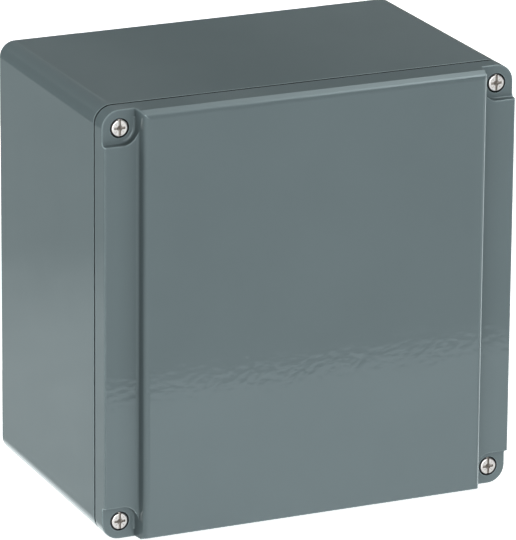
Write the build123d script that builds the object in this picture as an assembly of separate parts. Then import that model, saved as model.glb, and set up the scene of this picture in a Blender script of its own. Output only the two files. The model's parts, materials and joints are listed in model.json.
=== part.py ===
from build123d import *
import math
import os

# Screw-lid die-cast wall enclosure, 220 mm square.
# Every sub-part is drawn on the bench: X across, Y up the wall, Z out of the wall, with Z = 0 on
# the wall plane.  to_wall() then turns it into the part frame: X across, -Y out of the wall, Z up,
# with the origin at the centre of the wall plane.  All lengths are in millimetres.

# ---- driving dimensions ----
LID_SIZE = 220.0           # lid outline, square
LID_CORNER_R = 9.0
BASE_SIZE = 219.8          # base outline at its rim
BASE_CORNER_R = 8.9
BASE_DRAFT = 0.44          # degrees, narrower towards the wall
RIM_LEVEL = 125.7          # base rim above the wall plane
SEAM_GAP = 1.8             # shadow gap between rim and lid
FLOOR_LEVEL = 5.0          # inside floor of the base
PAD_HEIGHT = 0.6           # rear corner pads stand this far off the rear face
PAD_INNER_X = 66.7
PAD_INNER_Y = 65.0

# levels of the stepped lid above the wall plane
RECESS_LEVEL = 136.5       # floor of the four screw recesses
STRIP_LEVEL = 140.0        # strips left and right of the raised panel
SLOPE_LEVEL = 141.7        # where the top and bottom sides start to slope inwards
FRONT_LEVEL = 146.6        # front of the raised panel
LID_WALL = 4.0

# raised panel
PANEL_FOOT_X = 92.4        # half-width where the panel side meets the strip
PANEL_FRONT_X = 91.3       # half-width at the front, before rounding
PANEL_FRONT_Y = 108.1      # half-height at the front, before rounding
PANEL_EDGE_R = 3.0
PANEL_FOOT_R = 1.6
PANEL_CORNER_R = 0.8
STRIP_EDGE_R = 0.8

# screw recesses
RECESS_Y = 93.2            # inner wall towards the strip; the panel side is the other wall
RECESS_CORNER_R = 7.5
RECESS_FOOT_R = 1.2
RECESS_EDGE_R = 0.5
RECESS_OVERRUN = 5.0       # how far the recess cutter runs past the lid
SEAM_EDGE_R = 0.3
BASE_REAR_R = 0.5

# seal: a line that runs inside the corner blocks
SEAL_HALF = 105.8          # seal line along the four sides
SEAL_STEP_X = 66.0         # seal line beside a corner block
SEAL_STEP_Y = 89.0
SEAL_RADIUS = 5.0
TONGUE_HALF = 0.8
TONGUE_LEVEL = 128.4
GASKET_HALF = 1.5
GASKET_THICK = 3.0
BASE_WALL_INSET = 1.0      # inside face of the base wall, from the seal line
LID_LIP_INSET = 4.0        # inside face of the lid lip, from the seal line

# wall-fixing wells and holes, outside the seal
FIX_X = 80.0
FIX_Y = 99.5
FIX_HOLE_R = 3.25          # M6 clearance
WELL_X = 22.0
WELL_Y = 11.5
WELL_CORNER_R = 2.5
WELL_FLOOR = 5.0

# captive lid screws, M5 with a waisted shank
SCREW_AT = 100.8
SCREW_HEAD_R = 4.25
SCREW_HEAD_HEIGHT = 3.35
SCREW_SEAT = 133.5
SCREW_SHANK_R = 1.95
SCREW_THREAD_R = 2.5
THREAD_TOP = 121.95
THREAD_TIP = 114.0
COUNTERBORE_R = 4.75
SCREW_EDGE_R = 0.6
THREAD_CHAMFER = 0.6
SLOT_WIDTH = 1.25
SLOT_DEPTH = 1.1
CROSS_REACH = 2.9          # half-length of the cross arms
CROSS_DEPTH = 2.8          # tapered middle of the cross
CROSS_TIP_R = 0.4
CROSS_MOUTH_R = 1.5
MARK_AT = 2.6              # short marks between the arms
MARK_LENGTH = 1.3
MARK_WIDTH = 0.3
MARK_DEPTH = 0.2
LID_HOLE_R = 2.75
RING_POCKET_R = 5.5
RING_POCKET_TOP = 131.1    # in the lid
RING_POCKET_FLOOR = 121.9  # in the base
RING_R = 5.0
RING_BORE_R = 2.03
RING_LOW = 122.0
RING_THICK = 1.0
LID_BOSS_R = 6.9
TAPPED_R = 2.55            # M5 thread envelope plus running clearance
TAPPED_DEPTH = 18.0
BOSS_HOLE_FLOOR = 6.0      # blind end of the tapped holes in the floor bosses

# mounting plate and its fixings
PLATE_X = 196.0
PLATE_Y = 164.0
PLATE_THICK = 2.0
PLATE_CORNER_R = 4.0
PLATE_BOSS_X = 88.0
PLATE_BOSS_Y = 72.0
PLATE_BOSS_R = 6.0
PLATE_BOSS_TOP = 15.0
PLATE_HOLE_R = 2.75
PAN_HEAD_R = 4.75
PAN_HEAD_HEIGHT = 3.0
LOCK_WASHER_R = 4.6
LOCK_WASHER_THICK = 1.2
PLATE_SCREW_LENGTH = 11.0
WASHER_CUT = 0.8
PAN_DOME = 0.45            # edge radius of a pan head, as a share of its height
PAN_SLOT_WIDTH = 1.2
PAN_SLOT_DEPTH = 1.3

# earth terminals, M6 in the base and in the lid
EARTH_X = 0.0
EARTH_Y = -94.5
EARTH_BOSS_R = 7.0
EARTH_BOSS_TOP = 17.0
EARTH_THREAD_R = 3.0
EARTH_TAPPED_R = 3.05
EARTH_HEAD_R = 5.6
EARTH_HEAD_HEIGHT = 3.6
EARTH_WASHER_R = 5.5
EARTH_WASHER_THICK = 1.4
EARTH_SADDLE = 12.0
EARTH_SADDLE_THICK = 1.5
EARTH_SADDLE_LIP = 2.6
EARTH_SCREW_LENGTH = 10.0
EARTH_WASHER_PLAY = 0.1    # washer flats to the saddle lips
LID_EARTH_X = 0.0
LID_EARTH_Y = -93.5
LID_EARTH_BOSS_LOW = 134.0

LID_REAR = RIM_LEVEL + SEAM_GAP
CORNERS = [("top_left", -1, 1), ("top_right", 1, 1), ("bottom_left", -1, -1), ("bottom_right", 1, -1)]


def to_wall(shape):
    """Bench frame to part frame: Z out of the wall becomes -Y, Y up the wall becomes +Z."""
    return Rot(90, 0, 0) * shape


def prism(sketch, low, high):
    """Straight prism of a bench-plane outline between two levels."""
    return extrude(Pos(0, 0, low) * sketch, amount=high - low, dir=(0, 0, 1))


def disc(x, y, radius, low, high):
    """Upright cylinder between two levels."""
    return Pos(x, y, (low + high) / 2) * Cylinder(radius, high - low)


def slab(x, y, size_x, size_y, low, high):
    """Upright block between two levels."""
    return Pos(x, y, (low + high) / 2) * Box(size_x, size_y, high - low)


def seal_outline(grow):
    """The seal line as a filled outline, grown outwards by this much.

    It is a cross: full width between the corner blocks, and stepped inwards past each of them.
    """
    step_x = SEAL_STEP_X + grow
    step_y = SEAL_STEP_Y + grow
    half = SEAL_HALF + grow
    cross = Rectangle(2 * half, 2 * step_y) + Rectangle(2 * step_x, 2 * half)

    def is_inner(vertex):
        return abs(vertex.X) < step_x + 0.1 and abs(vertex.Y) < step_y + 0.1

    cross = fillet([v for v in cross.vertices() if not is_inner(v)], SEAL_RADIUS + grow)
    return fillet([v for v in cross.vertices() if is_inner(v)], SEAL_RADIUS - grow)


def seal_ring(half_width, low, high):
    """A band that follows the seal line."""
    return prism(seal_outline(half_width) - seal_outline(-half_width), low, high)


def well(x_side, y_side, low, high):
    """The space over one wall-fixing hole."""
    outline = Pos(x_side * FIX_X, y_side * FIX_Y) * RectangleRounded(WELL_X, WELL_Y, WELL_CORNER_R)
    return prism(outline, low, high)


def make_base():
    """Box casting: drafted walls, solid corner blocks with fixing wells, floor bosses, seal tongue."""
    outline = Pos(0, 0, RIM_LEVEL) * RectangleRounded(BASE_SIZE, BASE_SIZE, BASE_CORNER_R)
    base = extrude(outline, amount=-RIM_LEVEL, taper=BASE_DRAFT)
    base = fillet(base.edges().group_by(Axis.Z)[-1], SEAM_EDGE_R)
    base = fillet(base.edges().group_by(Axis.Z)[0], BASE_REAR_R)
    cavity = Pos(0, 0, RIM_LEVEL) * seal_outline(-BASE_WALL_INSET)
    base -= extrude(cavity, amount=FLOOR_LEVEL - RIM_LEVEL, taper=BASE_DRAFT)
    # only the four corner pads of the rear face touch the wall
    relief = Rectangle(2 * PAD_INNER_X, LID_SIZE) + Rectangle(LID_SIZE, 2 * PAD_INNER_Y)
    base -= prism(relief, 0, PAD_HEIGHT)
    base += seal_ring(TONGUE_HALF, RIM_LEVEL, TONGUE_LEVEL)
    for _, x_side, y_side in CORNERS:
        base += disc(x_side * PLATE_BOSS_X, y_side * PLATE_BOSS_Y, PLATE_BOSS_R, FLOOR_LEVEL, PLATE_BOSS_TOP)
    base += disc(EARTH_X, EARTH_Y, EARTH_BOSS_R, FLOOR_LEVEL, EARTH_BOSS_TOP)
    for _, x_side, y_side in CORNERS:
        base -= well(x_side, y_side, WELL_FLOOR, RIM_LEVEL)
        base -= disc(x_side * FIX_X, y_side * FIX_Y, FIX_HOLE_R, 0, WELL_FLOOR)
        screw_x = x_side * SCREW_AT
        screw_y = y_side * SCREW_AT
        base -= disc(screw_x, screw_y, RING_POCKET_R, RING_POCKET_FLOOR, RIM_LEVEL)
        base -= disc(screw_x, screw_y, TAPPED_R, RING_POCKET_FLOOR - TAPPED_DEPTH, RING_POCKET_FLOOR)
        boss_x = x_side * PLATE_BOSS_X
        boss_y = y_side * PLATE_BOSS_Y
        base -= disc(boss_x, boss_y, TAPPED_R, BOSS_HOLE_FLOOR, PLATE_BOSS_TOP)
    base -= disc(EARTH_X, EARTH_Y, EARTH_TAPPED_R, BOSS_HOLE_FLOOR, EARTH_BOSS_TOP)
    return base


def panel_side(level):
    """Half-width of the raised panel at a level: its sides lean inwards towards the front."""
    lean = (PANEL_FOOT_X - PANEL_FRONT_X) / (FRONT_LEVEL - STRIP_LEVEL)
    return PANEL_FRONT_X + lean * (FRONT_LEVEL - level)


def mirrored_face(points):
    """Face of an outline whose right half is given, foot first."""
    return make_face(Polyline(*points, *[(-x, y) for x, y in reversed(points)], close=True))


def crowned(face):
    """Round the front edge of a panel section."""
    return fillet([v for v in face.vertices() if v.Y > FRONT_LEVEL - 0.1], PANEL_EDGE_R)


def strip_section():
    """Section of lid and panel seen from above: strips with rounded edges and a rounded panel foot."""
    half = LID_SIZE / 2
    points = [(half, LID_REAR), (half, STRIP_LEVEL), (PANEL_FOOT_X, STRIP_LEVEL), (PANEL_FRONT_X, FRONT_LEVEL)]
    section = mirrored_face(points)
    edge = [v for v in section.vertices() if abs(v.X) > half - 0.1 and v.Y > STRIP_LEVEL - 0.1]
    section = fillet(edge, STRIP_EDGE_R)
    foot = [v for v in section.vertices() if abs(abs(v.X) - PANEL_FOOT_X) < 0.1 and v.Y < STRIP_LEVEL + 0.1]
    return crowned(fillet(foot, PANEL_FOOT_R))


def make_panel():
    """Raised panel: leaning sides, sloped top and bottom, every edge rounded."""
    half = LID_SIZE / 2
    low = LID_REAR + LID_WALL
    reach = half + RECESS_OVERRUN
    across = mirrored_face([(panel_side(low), low), (PANEL_FRONT_X, FRONT_LEVEL)])
    upright = mirrored_face([(half, low), (half, SLOPE_LEVEL), (PANEL_FRONT_Y, FRONT_LEVEL)])
    panel = extrude(Plane.XZ * across, amount=reach, both=True)
    panel &= extrude(Plane.YZ * upright, amount=reach, both=True)
    corners = [e for e in panel.edges() if abs(e.position_at(0).Z - e.position_at(1).Z) > 1]
    panel = fillet(corners, PANEL_CORNER_R)
    panel -= extrude(Plane.XZ * (across - crowned(across)), amount=reach, both=True)
    return panel - extrude(Plane.YZ * (upright - crowned(upright)), amount=reach, both=True)


def recess_cutter():
    """The space over one screw, at the upper right; its walls lean like the panel side."""
    reach = LID_SIZE / 2 + RECESS_OVERRUN
    near_x = panel_side(RECESS_LEVEL)
    middle = Pos((near_x + reach) / 2, (RECESS_Y + reach) / 2)
    outline = middle * Rectangle(reach - near_x, reach - RECESS_Y)
    outline = fillet(outline.vertices().sort_by(lambda v: v.X + v.Y)[0], RECESS_CORNER_R)
    lean = panel_side(RECESS_LEVEL) - panel_side(RECESS_LEVEL + 1)
    height = FRONT_LEVEL - RECESS_LEVEL
    cutter = extrude(Pos(0, 0, RECESS_LEVEL) * outline, amount=height, taper=-math.degrees(math.atan(lean)))

    def is_foot(edge):
        middle = edge.position_at(0.5)
        inside = middle.X < reach - 0.1 and middle.Y < reach - 0.1
        return abs(middle.Z - RECESS_LEVEL) < 0.01 and inside

    return fillet([e for e in cutter.edges() if is_foot(e)], RECESS_FOOT_R)


def at_corner(shape, x_side, y_side):
    """Mirror a shape drawn at the upper right into another corner."""
    if x_side < 0:
        shape = mirror(shape, about=Plane.YZ)
    if y_side < 0:
        shape = mirror(shape, about=Plane.XZ)
    return shape


def make_skirt():
    """Lower part of the lid, up to the recess floors, with both outer edges rounded."""
    skirt = prism(RectangleRounded(LID_SIZE, LID_SIZE, LID_CORNER_R), LID_REAR, RECESS_LEVEL)
    skirt = fillet(skirt.edges().group_by(Axis.Z)[0], SEAM_EDGE_R)
    return fillet(skirt.edges().group_by(Axis.Z)[-1], RECESS_EDGE_R)


def make_strips():
    """Side strips between the recesses, with the rounded foot of the panel along them."""
    reach_x = 2 * (LID_SIZE / 2 + RECESS_OVERRUN)
    reach_y = 2 * (RECESS_Y + RECESS_CORNER_R + RECESS_OVERRUN)
    strips = slab(0, 0, reach_x, reach_y, RECESS_LEVEL, STRIP_LEVEL)
    foot_x = PANEL_FOOT_X + PANEL_FOOT_R
    foot = slab(0, 0, 2 * foot_x, reach_y, STRIP_LEVEL - STRIP_EDGE_R, STRIP_LEVEL + PANEL_FOOT_R)
    for _, x_side, y_side in CORNERS:
        strips -= at_corner(recess_cutter(), x_side, y_side)
        foot -= at_corner(recess_cutter(), x_side, y_side)

    def is_lip(edge):
        middle = edge.position_at(0.5)
        outer = abs(middle.X) > reach_x / 2 - 0.1 or abs(middle.Y) > reach_y / 2 - 0.1
        return abs(middle.Z - STRIP_LEVEL) < 0.01 and not outer

    strips = fillet([e for e in strips.edges() if is_lip(e)], RECESS_EDGE_R)
    strips += slab(0, 0, reach_x, 2 * (RECESS_Y + RECESS_FOOT_R), RECESS_LEVEL - 2 * RECESS_EDGE_R, RECESS_LEVEL)
    return (strips + foot) & extrude(Plane.XZ * strip_section(), amount=reach_y, both=True)


def make_lid():
    """Stepped lid casting: raised panel, side strips, corner screw recesses, seal groove, hollow."""
    lid = make_skirt() + make_strips() + make_panel()
    # hollow: a shallow space under the strips and a deeper one under the panel
    inside = seal_outline(-LID_LIP_INSET)
    under_panel = inside & Rectangle(2 * (PANEL_FRONT_X - LID_WALL), LID_SIZE)
    lid -= prism(inside, LID_REAR, STRIP_LEVEL - LID_WALL)
    lid -= prism(under_panel, LID_REAR, FRONT_LEVEL - LID_WALL)
    lid -= seal_ring(GASKET_HALF, LID_REAR, TONGUE_LEVEL + GASKET_THICK)
    lid += disc(LID_EARTH_X, LID_EARTH_Y, EARTH_BOSS_R, LID_EARTH_BOSS_LOW, FRONT_LEVEL - LID_WALL)
    for _, x_side, y_side in CORNERS:
        lid -= well(x_side, y_side, LID_REAR, STRIP_LEVEL - LID_WALL)
        screw_x = x_side * SCREW_AT
        screw_y = y_side * SCREW_AT
        lid += disc(screw_x, screw_y, LID_BOSS_R, RIM_LEVEL, RING_POCKET_TOP)
        lid -= disc(screw_x, screw_y, RING_POCKET_R, RIM_LEVEL, RING_POCKET_TOP)
        lid -= disc(screw_x, screw_y, LID_HOLE_R, RING_POCKET_TOP, SCREW_SEAT)
        lid -= disc(screw_x, screw_y, COUNTERBORE_R, SCREW_SEAT, FRONT_LEVEL)
    lid -= disc(LID_EARTH_X, LID_EARTH_Y, EARTH_TAPPED_R, LID_EARTH_BOSS_LOW, FRONT_LEVEL - LID_WALL)
    return lid


def make_gasket():
    """Endless seal strip in the lid groove, standing on the tongue of the base."""
    return seal_ring(GASKET_HALF, TONGUE_LEVEL, TONGUE_LEVEL + GASKET_THICK)


def combination_drive(top, reach):
    """Cutter for a full slot with a cross recess and four short marks between the arms."""
    drive = slab(0, 0, SLOT_WIDTH, 2 * reach, top - SLOT_DEPTH, top)
    drive += slab(0, 0, 2 * CROSS_REACH, SLOT_WIDTH, top - SLOT_DEPTH, top)
    drive += Pos(0, 0, top - CROSS_DEPTH / 2) * Cone(CROSS_TIP_R, CROSS_MOUTH_R, CROSS_DEPTH)
    for angle in (45, 135, 225, 315):
        mark = slab(MARK_AT, 0, MARK_LENGTH, MARK_WIDTH, top - MARK_DEPTH, top)
        drive += Rot(0, 0, angle) * mark
    return drive


def make_lid_screw():
    """Captive cheese-head screw on the bench axis: waisted shank above a short thread."""
    top = SCREW_SEAT + SCREW_HEAD_HEIGHT
    head = disc(0, 0, SCREW_HEAD_R, SCREW_SEAT, top)
    head = fillet(head.edges().group_by(Axis.Z)[-1], SCREW_EDGE_R)
    head -= combination_drive(top, SCREW_HEAD_R)
    shank = disc(0, 0, SCREW_SHANK_R, THREAD_TOP, SCREW_SEAT)
    thread = disc(0, 0, SCREW_THREAD_R, THREAD_TIP, THREAD_TOP)
    thread = chamfer(thread.edges().group_by(Axis.Z)[0], THREAD_CHAMFER)
    return head + shank + thread


def make_retaining_ring():
    """Plastic ring on the waisted shank that keeps a loosened screw in the lid."""
    ring = disc(0, 0, RING_R, RING_LOW, RING_LOW + RING_THICK)
    return ring - disc(0, 0, RING_BORE_R, RING_LOW, RING_LOW + RING_THICK)


def make_mounting_plate():
    """Flat steel plate on the four floor bosses."""
    top = PLATE_BOSS_TOP + PLATE_THICK
    plate = prism(RectangleRounded(PLATE_X, PLATE_Y, PLATE_CORNER_R), PLATE_BOSS_TOP, top)
    for _, x_side, y_side in CORNERS:
        plate -= disc(x_side * PLATE_BOSS_X, y_side * PLATE_BOSS_Y, PLATE_HOLE_R, PLATE_BOSS_TOP, top)
    return plate


def split_washer(outer, bore, thick, low):
    """Spring lock washer with its cut."""
    washer = disc(0, 0, outer, low, low + thick) - disc(0, 0, bore, low, low + thick)
    return washer - slab(outer / 2, 0, outer, WASHER_CUT, low, low + thick)


def make_plate_washer():
    """Spring washer under one plate screw, on the bench axis."""
    return split_washer(LOCK_WASHER_R, TAPPED_R, LOCK_WASHER_THICK, PLATE_BOSS_TOP + PLATE_THICK)


def pan_screw(head_r, head_height, thread_r, length, seat):
    """Slotted pan-head screw on the bench axis, with its head above the seat."""
    head = disc(0, 0, head_r, seat, seat + head_height)
    top = seat + head_height
    head = fillet(head.edges().group_by(Axis.Z)[-1], head_height * PAN_DOME)
    head -= slab(0, 0, PAN_SLOT_WIDTH, 2 * head_r, top - PAN_SLOT_DEPTH, top)
    thread = disc(0, 0, thread_r, seat - length, seat)
    thread = chamfer(thread.edges().group_by(Axis.Z)[0], THREAD_CHAMFER)
    return head + thread


def make_plate_screw():
    """Screw that holds the mounting plate on one boss, on the bench axis."""
    seat = PLATE_BOSS_TOP + PLATE_THICK + LOCK_WASHER_THICK
    return pan_screw(PAN_HEAD_R, PAN_HEAD_HEIGHT, SCREW_THREAD_R, PLATE_SCREW_LENGTH, seat)


def earth_saddle(low):
    """Square clamp under an earth screw, with two side lips that keep the conductor in."""
    top = low + EARTH_SADDLE_THICK
    saddle = slab(0, 0, EARTH_SADDLE, EARTH_SADDLE, low, top)
    lip_at = EARTH_SADDLE / 2 - EARTH_SADDLE_THICK / 2
    for side in (-1, 1):
        saddle += slab(side * lip_at, 0, EARTH_SADDLE_THICK, EARTH_SADDLE, low, low + EARTH_SADDLE_LIP)
    return saddle - disc(0, 0, EARTH_TAPPED_R, low, top)


def make_earth_terminal():
    """Saddle, spring washer and screw of one earth terminal, standing on level 0."""
    saddle = earth_saddle(0)
    washer = split_washer(EARTH_WASHER_R, EARTH_TAPPED_R, EARTH_WASHER_THICK, EARTH_SADDLE_THICK)
    seat = EARTH_SADDLE_THICK + EARTH_WASHER_THICK
    between_lips = EARTH_SADDLE - 2 * (EARTH_SADDLE_THICK + EARTH_WASHER_PLAY)
    washer &= slab(0, 0, between_lips, EARTH_SADDLE, EARTH_SADDLE_THICK, seat)
    screw = pan_screw(EARTH_HEAD_R, EARTH_HEAD_HEIGHT, EARTH_THREAD_R, EARTH_SCREW_LENGTH, seat)
    return {"earth_saddle": saddle, "earth_spring_washer": washer, "earth_screw": screw}


def make_all():
    """Every node of the part in the bench frame."""
    nodes = {
        "base_casting": make_base(),
        "lid_casting": make_lid(),
        "lid_gasket": make_gasket(),
        "mounting_plate": make_mounting_plate(),
    }
    lid_screw = make_lid_screw()
    retaining_ring = make_retaining_ring()
    plate_screw = make_plate_screw()
    plate_washer = make_plate_washer()
    for name, x_side, y_side in CORNERS:
        over_screw = Pos(x_side * SCREW_AT, y_side * SCREW_AT, 0)
        over_boss = Pos(x_side * PLATE_BOSS_X, y_side * PLATE_BOSS_Y, 0)
        nodes[f"lid_screw_{name}"] = over_screw * lid_screw
        nodes[f"retaining_ring_{name}"] = over_screw * retaining_ring
        nodes[f"plate_screw_{name}"] = over_boss * plate_screw
        nodes[f"plate_spring_washer_{name}"] = over_boss * plate_washer
    for name, shape in make_earth_terminal().items():
        nodes[f"base_{name}"] = Pos(EARTH_X, EARTH_Y, EARTH_BOSS_TOP) * shape
        nodes[f"lid_{name}"] = Pos(LID_EARTH_X, LID_EARTH_Y, LID_EARTH_BOSS_LOW) * (Rot(180, 0, 0) * shape)
    return nodes


os.makedirs("parts", exist_ok=True)
for node, shape in make_all().items():
    export_step(to_wall(shape), f"parts/{node}.step")
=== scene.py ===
import json
import math

import bpy
from mathutils import Matrix, Vector


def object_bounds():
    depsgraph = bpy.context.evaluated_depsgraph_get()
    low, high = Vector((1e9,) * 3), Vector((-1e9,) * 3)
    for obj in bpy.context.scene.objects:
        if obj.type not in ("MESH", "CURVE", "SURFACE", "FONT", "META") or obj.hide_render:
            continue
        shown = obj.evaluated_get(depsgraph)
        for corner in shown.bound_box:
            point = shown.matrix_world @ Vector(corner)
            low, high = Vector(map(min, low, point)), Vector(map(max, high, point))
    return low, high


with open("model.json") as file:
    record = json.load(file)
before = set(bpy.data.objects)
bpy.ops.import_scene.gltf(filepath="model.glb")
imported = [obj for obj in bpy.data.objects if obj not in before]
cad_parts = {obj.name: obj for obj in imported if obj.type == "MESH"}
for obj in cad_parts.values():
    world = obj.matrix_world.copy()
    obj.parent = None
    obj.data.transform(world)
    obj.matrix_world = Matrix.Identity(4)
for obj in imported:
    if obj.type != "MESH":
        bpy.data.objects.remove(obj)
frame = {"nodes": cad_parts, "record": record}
cad_low, cad_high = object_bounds()

# Looks of a square die-cast wall enclosure: glossy grey paint, bright captive lid screws, a rubber
# seal, a zinc-plated mounting plate and brass earth saddles.  Every node keeps its CAD shape and
# gets a procedural material.  Lengths are in metres and colours are linear.

# ---- camera ----
CAMERA_AT = (-1.08586, -2.49722, 0.87202)
CAMERA_AZIMUTH = math.radians(-24.151)
CAMERA_ELEVATION = math.radians(18.233)
CAMERA_ROLL = math.radians(0.458)
LENS = 370.8               # millimetres on the sensor below
SENSOR = 36.0

# ---- floor ----
FLOOR_HALF = 30.0
FLOOR_DROP = 0.0003        # keeps the floor clear of the lid's underside, which it would flicker with
FLOOR_COLOUR = (0.90, 0.90, 0.90)
FLOOR_ROUGHNESS = 0.9
FLOOR_GLOW = 0.85

# ---- colours ----
PAINT_DARK = (0.1311, 0.1691, 0.17765)
PAINT_LIGHT = (0.1449, 0.1869, 0.19635)
PAINT_SHEEN = (0.80, 0.96, 1.0)
EDGE_HIGHLIGHT = (0.42, 0.52, 0.54)
# painted shade in the gap between base and lid and in the screw counterbores
GAP_SHADE = (0.012, 0.014, 0.018)
RUBBER = (0.018, 0.018, 0.020)
RUBBER_DUST = (0.0396, 0.0396, 0.044)
STEEL = (0.86, 0.85, 0.83)
STEEL_DULL = (0.774, 0.765, 0.747)
# painted shade in the screw drives
DRIVE_SHADE = (0.36, 0.33, 0.30)
PLASTIC = (0.60, 0.59, 0.54)
PLASTIC_YELLOW = (0.60, 0.5723, 0.4752)
ZINC = (0.62, 0.64, 0.66)
ZINC_DARK = (0.44, 0.46, 0.49)
BRASS = (0.70, 0.49, 0.20)
BRASS_DARK = (0.48, 0.31, 0.12)

# ---- paint ----
PAINT_IOR = 1.5
PAINT_ROUGHNESS = (0.012, 0.022)
CLOUD_SIZE = 0.045
HAZE_SIZE = 0.012
FLOW_WAVE = 0.014
FLOW_HEIGHT = 6e-6
PEEL_WAVE = 0.0032
PEEL_HEIGHT = 1.0e-5
SHADE_SAMPLES = 8
CORNER_REACH = 0.012       # painted shade darkens inner corners over this distance
CORNER_SHADE = 0.7
EDGE_REACH = 0.0007        # a lighter colour is painted as a highlight within this distance of a sharp edge
EDGE_RANGE = (0.08, 0.35)

# ---- shadow gap between base and lid ----
SEAM_LEVEL = -0.1266
SEAM_HALF = 0.00095
SEAM_FLANK = (0.102, 0.106)
SEAM_FLANK_SHARE = 0.25    # how much of its painted shade the gap keeps on the sides, where more light falls

# ---- lid screws ----
SCREW_AT = 0.1008
SCREW_FACE = -0.13685
BORE_REACH = 0.00505
DRIVE_SKIN = 0.00012       # painted shade darkens drive walls from this far below the face
DRIVE_REACH = 0.0041
STEEL_ROUGHNESS = (0.26, 0.42)
STEEL_WEAR = 0.0012
STEEL_MARKS = 0.0003
STEEL_MARK_HEIGHT = 3e-6
DRIVE_SHADE_METALLIC = 0.3

# ---- zinc sheet ----
SPANGLE_SIZE = 0.011
SPANGLE_ROUGHNESS = (0.28, 0.46)
ROLLED_STRETCH = (0.04, 1, 1)
ROLLED_GRAIN = 0.0007
ROLLED_HEIGHT = 5e-6

# ---- plain materials: two colours in patches over a fine grain ----
PLAIN_MATERIALS = {
    "seal_rubber": {
        "colours": (RUBBER, RUBBER_DUST), "patch": 0.006, "patch_detail": 4.0, "roughness": (0.62, 0.82),
        "grain": 0.0005, "grain_detail": 3.0, "grain_height": 3e-5, "metallic": 0.0,
    },
    "ring_plastic": {
        "colours": (PLASTIC, PLASTIC_YELLOW), "patch": 0.002, "patch_detail": 3.0, "roughness": (0.38, 0.52),
        "grain": 0.0004, "grain_detail": 2.0, "grain_height": 8e-6, "metallic": 0.0,
    },
    "zinc_hardware": {
        "colours": (ZINC_DARK, ZINC), "patch": 0.0016, "patch_detail": 3.0, "roughness": (0.24, 0.42),
        "grain": 0.0004, "grain_detail": 2.0, "grain_height": 5e-6, "metallic": 1.0,
    },
    "plain_brass": {
        "colours": (BRASS_DARK, BRASS), "patch": 0.004, "patch_detail": 4.0, "roughness": (0.24, 0.44),
        "grain": 0.0005, "grain_detail": 2.0, "grain_height": 6e-6, "metallic": 1.0,
    },
}

# ---- room, as brightness by the direction of a ray (x, y, z) ----
# A list of stops pairs a slope of the ray with a level.  A pair of numbers is where a change starts
# and ends: TABLE_EDGE along the slope z/y, SCREEN_SIDES along x, FRONT_TO_BACK along y, and
# GROUND_EDGE, SCREEN_TOP and CEILING_RISE along z.  CLUTTER_SHARE is the least and most share.
TABLE_LEVELS = [(-1.0, 0.6), (-0.46, 0.85), (-0.42, 1.2), (-0.3836, 1.45)]
WALL_LEVELS = [(-0.3836, 0.50), (0.0, 0.2), (1.0, 0.1)]
TABLE_EDGE = (-0.3840, -0.3832)
FAR_LEVELS = [
    (-1.0, 0.48), (-0.75, 0.46), (-0.5, 0.15), (0.0, 0.2), (0.60, 0.24), (0.64, 0.19), (0.665, 0.155),
    (0.69, 0.145), (0.71, 0.18), (0.73, 0.23), (0.745, 0.17), (0.765, 0.14), (0.785, 0.45),
    (0.85, 0.45), (1.1, 0.35), (1.6, 0.25),
]
FAR_GROUND = 0.85
GROUND_EDGE = (-0.3235, -0.3077)
SCREEN_GLOW = 0.9
SCREEN_SIDES = (0.14, 0.26)
SCREEN_TOP = (0.05, -0.05)
FRONT_TO_BACK = (-0.1, 0.1)
FRONT_TINT = (1.0, 1.0, 1.0)
BACK_TINT = (0.94, 1.0, 1.0)
CLUTTER_SIZE = 0.004
CLUTTER_SHARE = (0.75, 1.25)
CEILING_ACROSS = [
    (0.20, 0.0), (0.30, 0.5), (0.42, 0.56), (0.48, 1.53), (0.53, 2.3), (0.60, 2.45), (0.75, 0.0),
]
CEILING_ALONG = [(-0.42, 0.0), (-0.34, 3.4), (0.30, 3.6), (0.38, 1.0), (0.60, 1.0), (0.75, 0.0)]
CEILING_RISE = (0.3, 0.4)
LEAST_RUN = 0.001          # keeps slopes finite for rays along an axis

# Each lamp is a direction and stops that pair the cosine from it with a level.
LAMPS = [
    ((-0.05, -0.99, 0.10), [(0.92, 0.0), (0.98, 6.2), (1.0, 6.2)]),
    ((-0.85, 0.45, 0.20), [(0.86, 0.0), (0.95, 2.6), (1.0, 2.6)]),
    ((0.93, 0.15, -0.33), [(0.96, 0.0), (0.985, 3.0), (1.0, 3.4)]),
]


# ---- shader helpers ----

def new_material(name):
    """An empty node material with its Principled shader."""
    material = bpy.data.materials.new(name)
    material.use_nodes = True
    return material, material.node_tree, material.node_tree.nodes["Principled BSDF"]


def add(tree, kind, values=None, **settings):
    """A shader node with its settings and the values of its unlinked inputs."""
    made = tree.nodes.new(kind)
    for key, value in settings.items():
        setattr(made, key, value)
    for socket, value in (values or {}).items():
        made.inputs[socket].default_value = value
    return made


def feed(tree, socket, value):
    """Link an output to a socket, or set a number or colour on it."""
    if isinstance(value, bpy.types.NodeSocket):
        tree.links.new(value, socket)
    elif isinstance(value, tuple):
        socket.default_value = (*value, 1)
    else:
        socket.default_value = value


def object_place(tree, stretch=(1, 1, 1)):
    """Object coordinates in metres, squeezed along each axis by a factor."""
    place = add(tree, "ShaderNodeTexCoord")
    mapping = add(tree, "ShaderNodeMapping", {"Scale": stretch})
    tree.links.new(place.outputs["Object"], mapping.inputs["Vector"])
    return mapping.outputs["Vector"]


def object_axes(tree):
    """Object coordinates in metres, one output for each axis."""
    place = add(tree, "ShaderNodeTexCoord")
    split = add(tree, "ShaderNodeSeparateXYZ")
    tree.links.new(place.outputs["Object"], split.inputs["Vector"])
    return split.outputs


def noise(tree, where, feature, detail):
    """Noise with features of this length in metres, from 0 to 1."""
    made = add(tree, "ShaderNodeTexNoise", {"Scale": 1 / feature, "Detail": detail})
    tree.links.new(where, made.inputs["Vector"])
    return made.outputs["Fac"]


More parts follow.
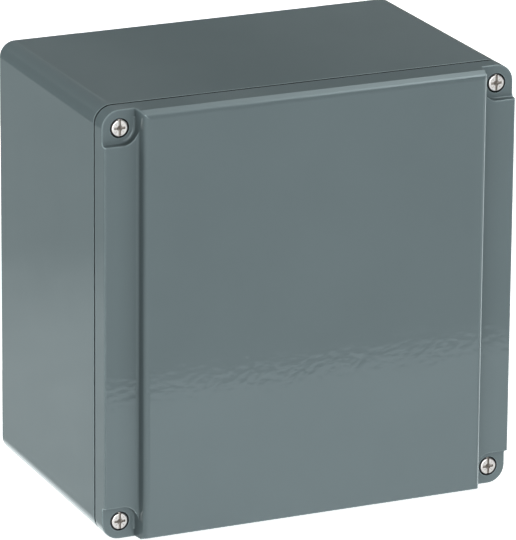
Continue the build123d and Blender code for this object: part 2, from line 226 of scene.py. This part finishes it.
def remap(tree, value, low, high):
    """A 0 to 1 value spread between two numbers."""
    made = add(tree, "ShaderNodeMapRange", {"To Min": low, "To Max": high})
    tree.links.new(value, made.inputs["Value"])
    return made.outputs["Result"]


def ramp(tree, value, start, end):
    """0 before one value, 1 past another, straight between."""
    made = add(tree, "ShaderNodeMapRange", {"From Min": start, "From Max": end})
    tree.links.new(value, made.inputs["Value"])
    return made.outputs["Result"]


def curve(tree, value, stops):
    """A value read through straight stretches between (value, level) stops."""
    low, high = stops[0][0], stops[-1][0]
    made = add(tree, "ShaderNodeValToRGB")
    band = made.color_ramp
    while len(band.elements) < len(stops):
        band.elements.new(0.5)
    for element, (place, level) in zip(band.elements, stops):
        element.position = (place - low) / (high - low)
        element.color = (level, level, level, 1)
    tree.links.new(ramp(tree, value, low, high), made.inputs["Fac"])
    return made.outputs["Color"]


def mix(tree, factor, first, second, data_type="RGBA", blend_type="MIX"):
    """Mix of two colours or values, each an output or a constant, by a factor."""
    made = add(tree, "ShaderNodeMix", data_type=data_type, blend_type=blend_type)
    for socket, value in (("Factor", factor), ("A", first), ("B", second)):
        feed(tree, made.inputs[socket], value)
    return made.outputs["Result"]


def calculate(tree, operation, *values):
    """One arithmetic node; each value is an output or a number."""
    made = add(tree, "ShaderNodeMath", operation=operation)
    for socket, value in zip(made.inputs, values):
        feed(tree, socket, value)
    return made.outputs["Value"]


def bump(tree, height, depth, under=None):
    """Bump whose full range of height is this many metres, on top of another normal."""
    made = add(tree, "ShaderNodeBump", {"Strength": 1.0, "Distance": depth})
    tree.links.new(height, made.inputs["Height"])
    if under is not None:
        tree.links.new(under, made.inputs["Normal"])
    return made.outputs["Normal"]


# ---- masks ----

def near_seam(tree):
    """Up to 1 on the mating faces of base and lid, between their two levels, where the gap's shade is
    painted, and less on the sides, else 0.
    """
    x, y, _ = object_axes(tree)
    band = calculate(tree, "COMPARE", y, SEAM_LEVEL, SEAM_HALF)
    flank = ramp(tree, calculate(tree, "ABSOLUTE", x), *SEAM_FLANK)
    return calculate(tree, "MULTIPLY", band, remap(tree, flank, 1.0, SEAM_FLANK_SHARE))


def near_screw(tree, x, z, reach):
    """1 within this distance of a lid screw's axis, at any depth of the box, else 0."""
    off = [calculate(tree, "SUBTRACT", calculate(tree, "ABSOLUTE", axis), SCREW_AT) for axis in (x, z)]
    square = calculate(tree, "ADD", *[calculate(tree, "MULTIPLY", side, side) for side in off])
    return calculate(tree, "LESS_THAN", square, reach ** 2)


def painted_gap_shade(tree):
    """Up to 1 in the shadow gap and the screw counterbores, where shade is painted in near-black.

    The part around the screws has no limit in depth, so it also darkens a disc on the back face
    at each screw's axis.  A real box has plain paint there.
    """
    x, _, z = object_axes(tree)
    return calculate(tree, "MAXIMUM", near_seam(tree), near_screw(tree, x, z, BORE_REACH))


def inside_drive(tree):
    """1 below the face of a lid screw and within its drive, else 0, with a soft edge."""
    x, y, z = object_axes(tree)
    below = ramp(tree, y, SCREW_FACE + DRIVE_SKIN, SCREW_FACE + 2 * DRIVE_SKIN)
    return calculate(tree, "MULTIPLY", below, near_screw(tree, x, z, DRIVE_REACH))


def occlusion(tree, reach, inside=False):
    """How open a point is within this distance, from 0 to 1, outwards or into the solid."""
    made = add(tree, "ShaderNodeAmbientOcclusion", {"Distance": reach}, samples=SHADE_SAMPLES, inside=inside)
    return made.outputs["AO"]


def painted_edge_highlight(tree):
    """Up to 1 on sharp outer edges, where a lighter colour is painted as a highlight, and 0 elsewhere."""
    depth = occlusion(tree, EDGE_REACH, inside=True)
    return ramp(tree, calculate(tree, "SUBTRACT", 1.0, depth), *EDGE_RANGE)


def shaded(tree, coat):
    """The coat, darker in inner corners: painted shade."""
    return mix(tree, CORNER_SHADE, coat, occlusion(tree, CORNER_REACH), blend_type="MULTIPLY")


# ---- materials ----

def paint_material(name):
    """Glossy enamel on a casting: faint flow waves, orange peel, slight unevenness of tone, painted
    highlights on sharp edges and painted shade in inner corners, in the gap between base and lid and in the
    screw counterbores.
    """
    material, tree, shader = new_material(name)
    place = object_place(tree)
    coat = mix(tree, noise(tree, place, CLOUD_SIZE, detail=3.0), PAINT_DARK, PAINT_LIGHT)
    # painted highlight: a lighter colour along sharp edges
    coat = mix(tree, painted_edge_highlight(tree), coat, EDGE_HIGHLIGHT)
    # painted shade: near-black in the gap between base and lid and in the counterbores
    coat = mix(tree, painted_gap_shade(tree), coat, GAP_SHADE)
    # painted shade in inner corners
    tree.links.new(shaded(tree, coat), shader.inputs["Base Color"])
    haze = noise(tree, place, HAZE_SIZE, detail=3.0)
    tree.links.new(remap(tree, haze, *PAINT_ROUGHNESS), shader.inputs["Roughness"])
    flow = bump(tree, noise(tree, place, FLOW_WAVE, detail=1.0), FLOW_HEIGHT)
    peel = bump(tree, noise(tree, place, PEEL_WAVE, detail=1.0), PEEL_HEIGHT, flow)
    tree.links.new(peel, shader.inputs["Normal"])
    shader.inputs["IOR"].default_value = PAINT_IOR
    shader.inputs["Specular Tint"].default_value = (*PAINT_SHEEN, 1)
    return material


def steel_material(name):
    """Bright plated screw steel with fine turning marks and painted shade in the drives."""
    material, tree, shader = new_material(name)
    place = object_place(tree)
    wear = noise(tree, place, STEEL_WEAR, detail=3.0)
    sunk = inside_drive(tree)
    plated = mix(tree, wear, STEEL_DULL, STEEL)
    # painted shade in the drives
    tree.links.new(mix(tree, sunk, plated, DRIVE_SHADE), shader.inputs["Base Color"])
    tree.links.new(remap(tree, wear, *STEEL_ROUGHNESS), shader.inputs["Roughness"])
    marks = bump(tree, noise(tree, place, STEEL_MARKS, detail=2.0), STEEL_MARK_HEIGHT)
    tree.links.new(marks, shader.inputs["Normal"])
    tree.links.new(remap(tree, sunk, 1.0, DRIVE_SHADE_METALLIC), shader.inputs["Metallic"])
    return material


def zinc_sheet_material(name):
    """Galvanised sheet: zinc spangle under a rolled grain that runs along X."""
    material, tree, shader = new_material(name)
    spangle = add(tree, "ShaderNodeTexVoronoi", {"Scale": 1 / SPANGLE_SIZE, "Randomness": 1.0})
    tree.links.new(object_place(tree), spangle.inputs["Vector"])
    tone = add(tree, "ShaderNodeSeparateColor")
    tree.links.new(spangle.outputs["Color"], tone.inputs["Color"])
    tree.links.new(mix(tree, tone.outputs["Red"], ZINC_DARK, ZINC), shader.inputs["Base Color"])
    tree.links.new(remap(tree, tone.outputs["Green"], *SPANGLE_ROUGHNESS), shader.inputs["Roughness"])
    rolled = noise(tree, object_place(tree, ROLLED_STRETCH), ROLLED_GRAIN, detail=3.0)
    tree.links.new(bump(tree, rolled, ROLLED_HEIGHT), shader.inputs["Normal"])
    shader.inputs["Metallic"].default_value = 1.0
    return material


def plain_material(name, recipe):
    """Two colours in patches, which also vary the roughness, over a fine grain."""
    material, tree, shader = new_material(name)
    place = object_place(tree)
    patch = noise(tree, place, recipe["patch"], recipe["patch_detail"])
    tree.links.new(mix(tree, patch, *recipe["colours"]), shader.inputs["Base Color"])
    tree.links.new(remap(tree, patch, *recipe["roughness"]), shader.inputs["Roughness"])
    grain = noise(tree, place, recipe["grain"], recipe["grain_detail"])
    tree.links.new(bump(tree, grain, recipe["grain_height"]), shader.inputs["Normal"])
    shader.inputs["Metallic"].default_value = recipe["metallic"]
    return material


def make_materials():
    """Every material by its slot."""
    materials = {slot: plain_material(slot, recipe) for slot, recipe in PLAIN_MATERIALS.items()}
    materials["grey_paint"] = paint_material("grey_paint")
    materials["bright_steel"] = steel_material("bright_steel")
    materials["zinc_sheet"] = zinc_sheet_material("zinc_sheet")
    return materials


def dress_nodes(nodes, record):
    """Give every CAD node the material of its slot in the record."""
    materials = make_materials()
    for part in record["subparts"]:
        mesh = nodes[part["node"]].data
        mesh.materials.clear()
        mesh.materials.append(materials[part["material_slot"]])


# ---- floor and camera ----

def make_floor(level):
    """A wide pale floor that glows a little, like a lit table."""
    corners = [(-1, -1), (1, -1), (1, 1), (-1, 1)]
    mesh = bpy.data.meshes.new("floor")
    mesh.from_pydata([(x * FLOOR_HALF, y * FLOOR_HALF, level) for x, y in corners], [], [(0, 1, 2, 3)])
    floor = bpy.data.objects.new("floor", mesh)
    bpy.context.scene.collection.objects.link(floor)
    material, _, shader = new_material("pale_floor")
    shader.inputs["Base Color"].default_value = (*FLOOR_COLOUR, 1)
    shader.inputs["Roughness"].default_value = FLOOR_ROUGHNESS
    shader.inputs["Emission Color"].default_value = (1, 1, 1, 1)
    shader.inputs["Emission Strength"].default_value = FLOOR_GLOW
    mesh.materials.append(material)
    floor.visible_diffuse = False
    floor.visible_glossy = False
    floor.visible_shadow = False


def make_camera():
    """The camera, placed and turned by its azimuth, elevation and roll."""
    back = Vector((
        math.sin(CAMERA_AZIMUTH) * math.cos(CAMERA_ELEVATION),
        -math.cos(CAMERA_AZIMUTH) * math.cos(CAMERA_ELEVATION),
        math.sin(CAMERA_ELEVATION),
    ))
    right = Vector((math.cos(CAMERA_AZIMUTH), math.sin(CAMERA_AZIMUTH), 0))
    up = back.cross(right)
    side = math.cos(CAMERA_ROLL) * right + math.sin(CAMERA_ROLL) * up
    top = math.cos(CAMERA_ROLL) * up - math.sin(CAMERA_ROLL) * right
    data = bpy.data.cameras.new("camera")
    data.lens = LENS
    data.sensor_width = SENSOR
    camera = bpy.data.objects.new("camera", data)
    bpy.context.scene.collection.objects.link(camera)
    turn = Matrix((side, top, back)).transposed().to_4x4()
    camera.matrix_world = Matrix.Translation(CAMERA_AT) @ turn
    bpy.context.scene.camera = camera


# ---- light ----

def slope(tree, rise, run):
    """How far a ray goes along one axis for each unit along another, whose sign is dropped."""
    level = calculate(tree, "MAXIMUM", calculate(tree, "ABSOLUTE", run), LEAST_RUN)
    return calculate(tree, "DIVIDE", rise, level)


def toward(tree, axes, direction):
    """Cosine between a ray and a direction."""
    aim = Vector(direction).normalized()
    parts = [calculate(tree, "MULTIPLY", axis, share) for axis, share in zip(axes, aim)]
    return calculate(tree, "ADD", calculate(tree, "ADD", parts[0], parts[1]), parts[2])


def room_in_front(tree, y, z):
    """Level in front of the box: a lit table up to its sharp far edge and a dim wall above."""
    steep = slope(tree, z, y)
    table = curve(tree, steep, TABLE_LEVELS)
    wall = curve(tree, steep, WALL_LEVELS)
    return mix(tree, ramp(tree, steep, *TABLE_EDGE), table, wall, data_type="FLOAT")


def room_behind(tree, x, z):
    """Level behind the box: pale ground, a dim room above it and a low screen straight back."""
    dim = curve(tree, slope(tree, z, x), FAR_LEVELS)
    room = mix(tree, ramp(tree, z, *GROUND_EDGE), FAR_GROUND, dim, data_type="FLOAT")
    beside = ramp(tree, calculate(tree, "ABSOLUTE", x), *SCREEN_SIDES)
    ahead = calculate(tree, "SUBTRACT", 1.0, beside)
    screen = calculate(tree, "MULTIPLY", ahead, ramp(tree, z, *SCREEN_TOP))
    return calculate(tree, "ADD", room, calculate(tree, "MULTIPLY", screen, SCREEN_GLOW))


def ceiling_light(tree, x, y, z):
    """Level of one long ceiling light to the right, which fades out towards the horizon."""
    across = curve(tree, slope(tree, x, z), CEILING_ACROSS)
    along = curve(tree, slope(tree, y, z), CEILING_ALONG)
    strip = calculate(tree, "MULTIPLY", across, along)
    return calculate(tree, "MULTIPLY", strip, ramp(tree, z, *CEILING_RISE))


def make_world():
    """A soft studio: a cluttered room in front and behind, one ceiling light and three lamps."""
    world = bpy.data.worlds.new("studio")
    bpy.context.scene.world = world
    world.use_nodes = True
    tree = world.node_tree
    background = tree.nodes["Background"]
    ray = add(tree, "ShaderNodeTexCoord").outputs["Generated"]
    split = add(tree, "ShaderNodeSeparateXYZ")
    tree.links.new(ray, split.inputs["Vector"])
    x, y, z = split.outputs
    behind = ramp(tree, y, *FRONT_TO_BACK)
    room = mix(tree, behind, room_in_front(tree, y, z), room_behind(tree, x, z), data_type="FLOAT")
    clutter = remap(tree, noise(tree, ray, CLUTTER_SIZE, detail=2.0), *CLUTTER_SHARE)
    lit = calculate(tree, "MULTIPLY", room, clutter)
    lit = calculate(tree, "ADD", lit, ceiling_light(tree, x, y, z))
    for direction, levels in LAMPS:
        lit = calculate(tree, "ADD", lit, curve(tree, toward(tree, (x, y, z), direction), levels))
    tree.links.new(lit, background.inputs["Strength"])
    tree.links.new(mix(tree, behind, FRONT_TINT, BACK_TINT), background.inputs["Color"])


dress_nodes(frame["nodes"], frame["record"])
make_floor(cad_low.z - FLOOR_DROP)
make_world()
make_camera()
bpy.context.scene.view_settings.view_transform = "Standard"
